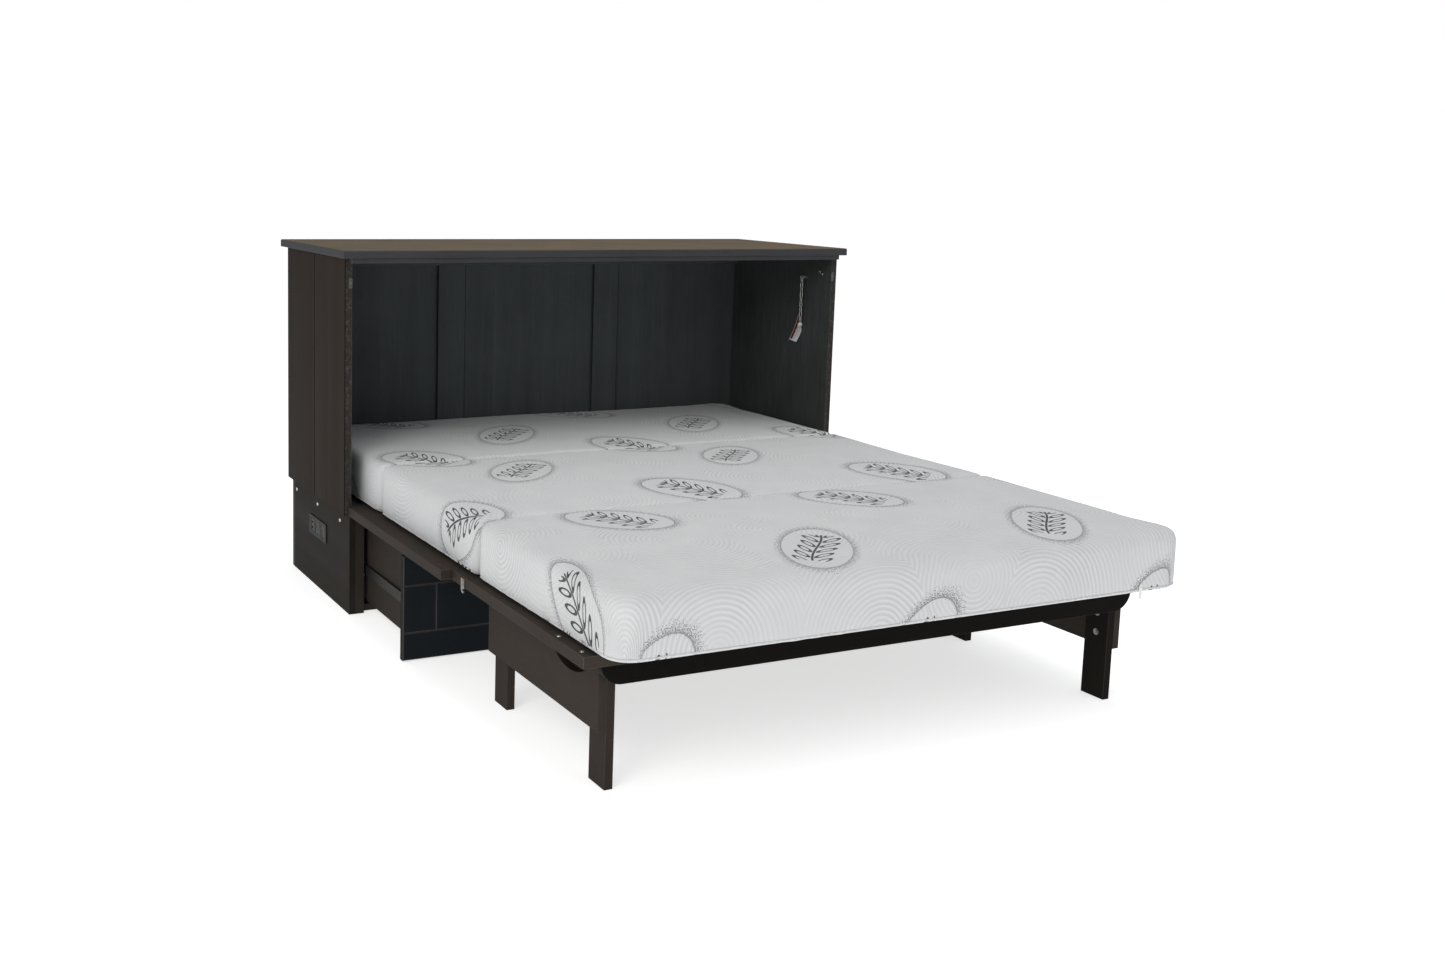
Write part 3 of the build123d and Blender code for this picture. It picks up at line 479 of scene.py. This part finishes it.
def swell(piece, held, most):
    """Blow the cover up a little with the cloth solver, then keep the shape it takes."""
    rest = coordinates(piece.data)
    group = piece.vertex_groups.new(name="held")
    for index in np.flatnonzero(held):
        group.add([int(index)], 1.0, "REPLACE")
    cloth = piece.modifiers.new("swell", "CLOTH")
    s = cloth.settings
    s.quality, s.mass = 5, 0.3
    s.tension_stiffness = s.compression_stiffness = 18
    s.shear_stiffness, s.bending_stiffness = 8, 2
    s.use_pressure, s.uniform_pressure_force = True, 4.0
    s.effector_weights.gravity = 0
    s.vertex_group_mass = "held"
    cloth.point_cache.frame_start, cloth.point_cache.frame_end = 1, 20
    for step in range(1, 21):
        scene.frame_set(step)
    swollen = piece.evaluated_get(bpy.context.evaluated_depsgraph_get())
    moved = coordinates(swollen.data) - rest
    piece.modifiers.remove(cloth)
    scene.frame_set(1)
    far = np.linalg.norm(moved, axis=1)
    moved *= min(1.0, most / max(far.max(), 1e-9))
    piece.data.vertices.foreach_set("co", (rest + moved).astype(np.float32).ravel())
    piece.vertex_groups.clear()


def waves(points, spacing, seed):
    """A smooth unevenness from -1 to 1, its bumps about a spacing apart along each axis."""
    chance = np.random.default_rng(seed)
    total = np.zeros(len(points))
    for _ in range(7):
        way = chance.normal(size=3)
        way *= chance.uniform(0.7, 1.3) * math.pi / (np.linalg.norm(way) * np.array(spacing))
        total += np.sin(points @ way + chance.uniform(0, 2 * math.pi))
    return total / 4


def pucker(piece, low, high, foot_sewn, head_sewn):
    """Fine gathers where the cover is sewn, and the slow unevenness of foam under knit."""
    mesh = piece.data
    mesh.update()
    p = coordinates(mesh)
    normals = np.zeros(len(p) * 3, np.float32)
    mesh.vertices.foreach_get("normal", normals)
    near = np.zeros(len(p))
    for y, sewn in ((low[1], foot_sewn), (high[1], head_sewn)):
        if sewn:
            near = np.maximum(near, 1 - np.abs(p[:, 1] - y) / 0.055)
    base = np.clip(1 - (p[:, 2] - low[2]) / 0.035, 0, 1)
    lift = (0.0013 * near * waves(p, (0.022, 0.16, 0.10), 3)
            + 0.0011 * base * waves(p, (0.026, 0.026, 0.15), 5)
            + 0.0016 * waves(p, (0.28, 0.25, 0.25), 8))
    lift[p[:, 2] < low[2] + 0.004] = 0
    p += normals.reshape(-1, 3) * lift[:, None]
    mesh.vertices.foreach_set("co", p.astype(np.float32).ravel())
    mesh.update()


def tube(path, radius, sides=8):
    """Points and quads of a round cord along an open path."""
    points, faces = [], []
    for i, p in enumerate(path):
        ahead = path[min(i + 1, len(path) - 1)] - path[max(i - 1, 0)]
        across = ahead.cross(Vector((0, 0, 1))).normalized()
        up = across.cross(ahead).normalized()
        for k in range(sides):
            turn = 2 * math.pi * k / sides
            points.append(p + (across * math.cos(turn) + up * math.sin(turn)) * radius)
    for i in range(len(path) - 1):
        for k in range(sides):
            a, b = i * sides + k, i * sides + (k + 1) % sides
            faces.append([a, b, b + sides, a + sides])
    faces.append(list(range(sides)))
    last = (len(path) - 1) * sides
    faces.append([last + k for k in reversed(range(sides))])
    return points, faces


def welt_path(low, high, foot_sewn, head_sewn, level):
    """Runs of the bottom edge that show: the two sides, and a free end with its corners."""
    def corner(cx, cy, r, start, turn):
        angles = [start + turn * k / 8 for k in range(9)]
        return [Vector((cx + r * math.cos(a), cy + r * math.sin(a), level)) for a in angles]

    x0, y0, _ = low
    x1, y1, _ = high
    r = FREE_CORNER
    foot_gap = 0.02 if foot_sewn else r
    left = [Vector((x0, y, level)) for y in np.linspace(y1 - 0.02, y0 + foot_gap, 30)]
    right = [Vector((x1, q.y, level)) for q in reversed(left)]
    if foot_sewn and head_sewn:
        return [left, right]
    end = [Vector((x, y0, level)) for x in np.linspace(x0 + r, x1 - r, 60)]
    if not foot_sewn:
        return [left + corner(x0 + r, y0 + r, r, math.pi, math.pi / 2)[1:] + end
                + corner(x1 - r, y0 + r, r, -math.pi / 2, math.pi / 2)[1:] + right[1:]]
    back = [Vector((x, y1, level)) for x in np.linspace(x1 - r, x0 + r, 60)]
    left = [Vector((x0, y, level)) for y in np.linspace(y1 - r, y0 + 0.02, 30)]
    right = [Vector((x1, q.y, level)) for q in reversed(left)]
    return [right + corner(x1 - r, y1 - r, r, 0.0, math.pi / 2)[1:] + back
            + corner(x0 + r, y1 - r, r, math.pi / 2, math.pi / 2)[1:] + left[1:]]


def cover(part, foot_sewn, head_sewn):
    """The padded cover of one mattress section, in the space of its plain block."""
    low, high = (np.array(corner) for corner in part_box(f"mattress_{part}"))
    low[2] -= REST_DROP                               # it rests on the deck
    start_low, start_high = low.copy(), high.copy()
    if foot_sewn:
        start_low[1] -= SEAM_LAP
    if head_sewn:
        start_high[1] += SEAM_LAP
    start_high[2] -= TOP_ROOM
    shape, quads, cloth = soft_block(start_low, start_high, foot_sewn, head_sewn)
    piece = mesh_object(f"cover_{part}", shape, quads)
    mesh = piece.data
    layer = mesh.uv_layers.new(name="cloth")
    corners = np.zeros(len(mesh.loops), np.int32)
    mesh.loops.foreach_get("vertex_index", corners)
    layer.data.foreach_set("uv", cloth[corners].astype(np.float32).ravel())
    held = shape[:, 2] < start_low[2] + 0.004
    for y, sewn in ((start_low[1], foot_sewn), (start_high[1], head_sewn)):
        if sewn:
            held |= np.abs(shape[:, 1] - y) < 0.007
    swell(piece, held, MOST_SWELL)
    finer = piece.modifiers.new("finer", "SUBSURF")
    finer.levels = finer.render_levels = 1
    done = bpy.data.meshes.new_from_object(
        piece.evaluated_get(bpy.context.evaluated_depsgraph_get()))
    piece.modifiers.remove(finer)
    piece.data = done
    pucker(piece, low, high, foot_sewn, head_sewn)
    tree = BVHTree.FromObject(piece, bpy.context.evaluated_depsgraph_get())
    whole = bmesh.new()
    whole.from_mesh(piece.data)
    uv = whole.loops.layers.uv.active
    for run in welt_path(low, high, foot_sewn, head_sewn, low[2] + WELT_RISE):
        path = [tree.find_nearest(q)[0] for q in run]
        points, faces = tube(path, WELT_R)
        made = [whole.verts.new(q) for q in points]
        for ring in faces:
            quad = whole.faces.new([made[k] for k in ring])
            quad.material_index = 1
            quad.smooth = True
            for loop in quad.loops:
                loop[uv].uv = loop.vert.co.xy
    for f in whole.faces:
        f.smooth = True
    whole.to_mesh(piece.data)
    whole.free()
    piece.data.materials.clear()
    piece.data.materials.append(cover_cloth)
    piece.data.materials.append(welt_cloth)
    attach(piece, f"mattress_{part}")
    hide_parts(f"mattress_{part}")
    return piece


front = cover("front", False, True)
middle = cover("middle", True, True)
back = cover("back", True, False)


def zip_tab():
    """A moulded zip pull: a slim tab with an eye, hanging from its slider."""
    low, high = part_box("zipper_pull")
    x, y = (low.x + high.x) / 2, high.y
    points, faces = [], []
    count, thick = 28, 0.0018
    for depth in (0.0, -thick):
        for hole in (False, True):
            for k in range(count):
                turn = 2 * math.pi * k / count
                cs, sn = math.cos(turn), math.sin(turn)
                if hole:
                    spot = (0.0019 * cs, high.z - 0.0055 + 0.0024 * sn)
                else:
                    wide = 0.0043 * (1.0 - 0.22 * max(0.0, sn))
                    tall = (high.z - low.z) / 2
                    spot = (wide * math.copysign(abs(cs) ** 0.6, cs),
                            (low.z + high.z) / 2 + tall * math.copysign(abs(sn) ** 0.75, sn))
                points.append((x + spot[0], y - 0.0004 + depth, spot[1]))
    for k in range(count):
        n = (k + 1) % count
        back_out, back_in, near_out, near_in = (ring * count for ring in range(4))
        faces += [[back_out + k, back_out + n, back_in + n, back_in + k],
                  [near_out + n, near_out + k, near_in + k, near_in + n],
                  [back_out + n, back_out + k, near_out + k, near_out + n],
                  [back_in + k, back_in + n, near_in + n, near_in + k]]
    tab = mesh_object("zip_tab", points, faces)
    soft = tab.modifiers.new("soft", "BEVEL")
    soft.width, soft.segments, soft.angle_limit = 0.0004, 2, 0.9
    tab.data.materials.append(pull_plastic)
    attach(tab, "mattress_front")
    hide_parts("zipper_pull")
    return tab


pull = zip_tab()


def curled_tag():
    """A card that hangs askew behind the clip, a little curled along its length."""
    low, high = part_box("chain_clip")
    ball = (low + high) / 2
    half, above, below, thick = 0.0155, 0.027, 0.058, 0.0006
    lean = math.radians(19)
    rows, columns = 14, 5
    points, spots, faces = [], [], []
    for depth in (0.0, thick):
        for i in range(rows):
            for j in range(columns):
                u, v = j / (columns - 1), i / (rows - 1)
                x, z = (u * 2 - 1) * half, above - v * (above + below)
                bow = 0.010 * (v - 0.33) ** 2 * 2 - 0.004 * (2 * u - 1) ** 2
                points.append((ball.x + 0.006 + x * math.cos(lean) + z * math.sin(lean),
                               high.y + 0.0055 + bow + depth,
                               ball.z - x * math.sin(lean) + z * math.cos(lean)))
                spots.append((u, 1 - v))
    back = rows * columns
    for i in range(rows - 1):
        for j in range(columns - 1):
            a = i * columns + j
            ring = [a, a + 1, a + columns + 1, a + columns]
            faces += [ring[::-1], [back + k for k in ring]]
    rim = (list(range(columns)) + [i * columns + columns - 1 for i in range(1, rows)]
           + [(rows - 1) * columns + j for j in range(columns - 2, -1, -1)]
           + [i * columns for i in range(rows - 2, 0, -1)])
    for a, b in zip(rim, rim[1:] + rim[:1]):
        faces.append([a, b, back + b, back + a])
    tag = mesh_object("hang_tag", points, faces)
    layer = tag.data.uv_layers.new(name="card")
    for loop in tag.data.loops:
        layer.data[loop.index].uv = spots[loop.vertex_index]
    tag.data.materials.append(card("tag_card"))
    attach(tag, "chain")
    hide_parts("chain_tag")


curled_tag()

# the sections can't be tucked away by the leaf alone; here each cover, and the zip tab, gets a
# mesh of its own
for piece in (front, pull):
    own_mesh(piece)
for piece in (middle, back):
    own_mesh(piece)

# ---- floor, light, camera --------------------------------------------------------------
floor_finish = Finish("studio_floor")
cloudy = floor_finish.noise(floor_finish.where.outputs["Object"], 0.7, 2.0)
floor_tone = floor_finish.blend(cloudy, srgb(240, 240, 240), srgb(244, 244, 243))
floor_finish.set(Base_Color=floor_tone, Roughness=0.9, Specular_IOR_Level=0.1,
                 Emission_Color=(1, 1, 1, 1), Emission_Strength=0.66)
REACH = 30.0                     # half the width of the floor
floor = mesh_object("studio_floor", [(-REACH, -REACH, 0), (REACH, -REACH, 0), (REACH, REACH, 0),
                                     (-REACH, REACH, 0)], [[0, 1, 2, 3]])
floor.data.materials.append(floor_finish.material)

world = bpy.data.worlds.new("studio")
world.use_nodes = True
scene.world = world
links, sky = world.node_tree.links, world.node_tree.nodes
plain = sky["Background"]
plain.inputs["Color"].default_value = (0.93, 0.96, 1.0, 1)
plain.inputs["Strength"].default_value = 0.44
white = sky.new("ShaderNodeBackground")
white.inputs["Color"].default_value = (1, 1, 1, 1)
path, choice = sky.new("ShaderNodeLightPath"), sky.new("ShaderNodeMixShader")
links.new(path.outputs["Is Camera Ray"], choice.inputs[0])
links.new(plain.outputs[0], choice.inputs[1])
links.new(white.outputs[0], choice.inputs[2])
links.new(choice.outputs[0], sky["World Output"].inputs["Surface"])


def softbox(name, place, target, size, watts, colour):
    """A round area light at place, turned to face target."""
    light = bpy.data.lights.new(name, "AREA")
    light.shape, light.size, light.energy, light.color = "DISK", size, watts, colour
    box = bpy.data.objects.new(name, light)
    scene.collection.objects.link(box)
    box.location = place
    box.rotation_euler = (Vector(target) - Vector(place)).to_track_quat("-Z", "Y").to_euler()


softbox("key", (-4.0, -2.8, 3.0), (0, -0.2, 0.3), 2.6, 62, (1.0, 0.96, 0.91))
softbox("front_fill", (1.6, -4.6, 2.0), (0, 0, 0.4), 2.8, 6, (0.88, 0.94, 1.0))
softbox("overhead", (0.4, -0.4, 4.2), (0, -0.2, 0), 3.4, 62, (1.0, 0.98, 0.95))

# the camera stands ahead of the foot end and to the left of it, a little above the bed
PLACE = Vector((-2.0347, -3.3495, 1.2310))
YAW, PITCH, ROLL = (math.radians(a) for a in (25.3902, 7.6535, 1.1727))
ahead = Vector((math.sin(YAW) * math.cos(PITCH), math.cos(YAW) * math.cos(PITCH),
                -math.sin(PITCH)))
level = Vector((math.cos(YAW), -math.sin(YAW), 0))
upright = level.cross(ahead)
right = level * math.cos(ROLL) + upright * math.sin(ROLL)
up = upright * math.cos(ROLL) - level * math.sin(ROLL)
lens = bpy.data.cameras.new("camera")
lens.sensor_width, lens.lens = 36.0, 36.39
lens.shift_x, lens.shift_y = 0.1298, -0.0775
lens.clip_end = 100
camera = bpy.data.objects.new("camera", lens)
scene.collection.objects.link(camera)
turn = Matrix((right, up, -ahead)).transposed()
camera.matrix_world = Matrix.Translation(PLACE) @ turn.to_4x4()
scene.camera = camera
scene.view_settings.view_transform = "Standard"
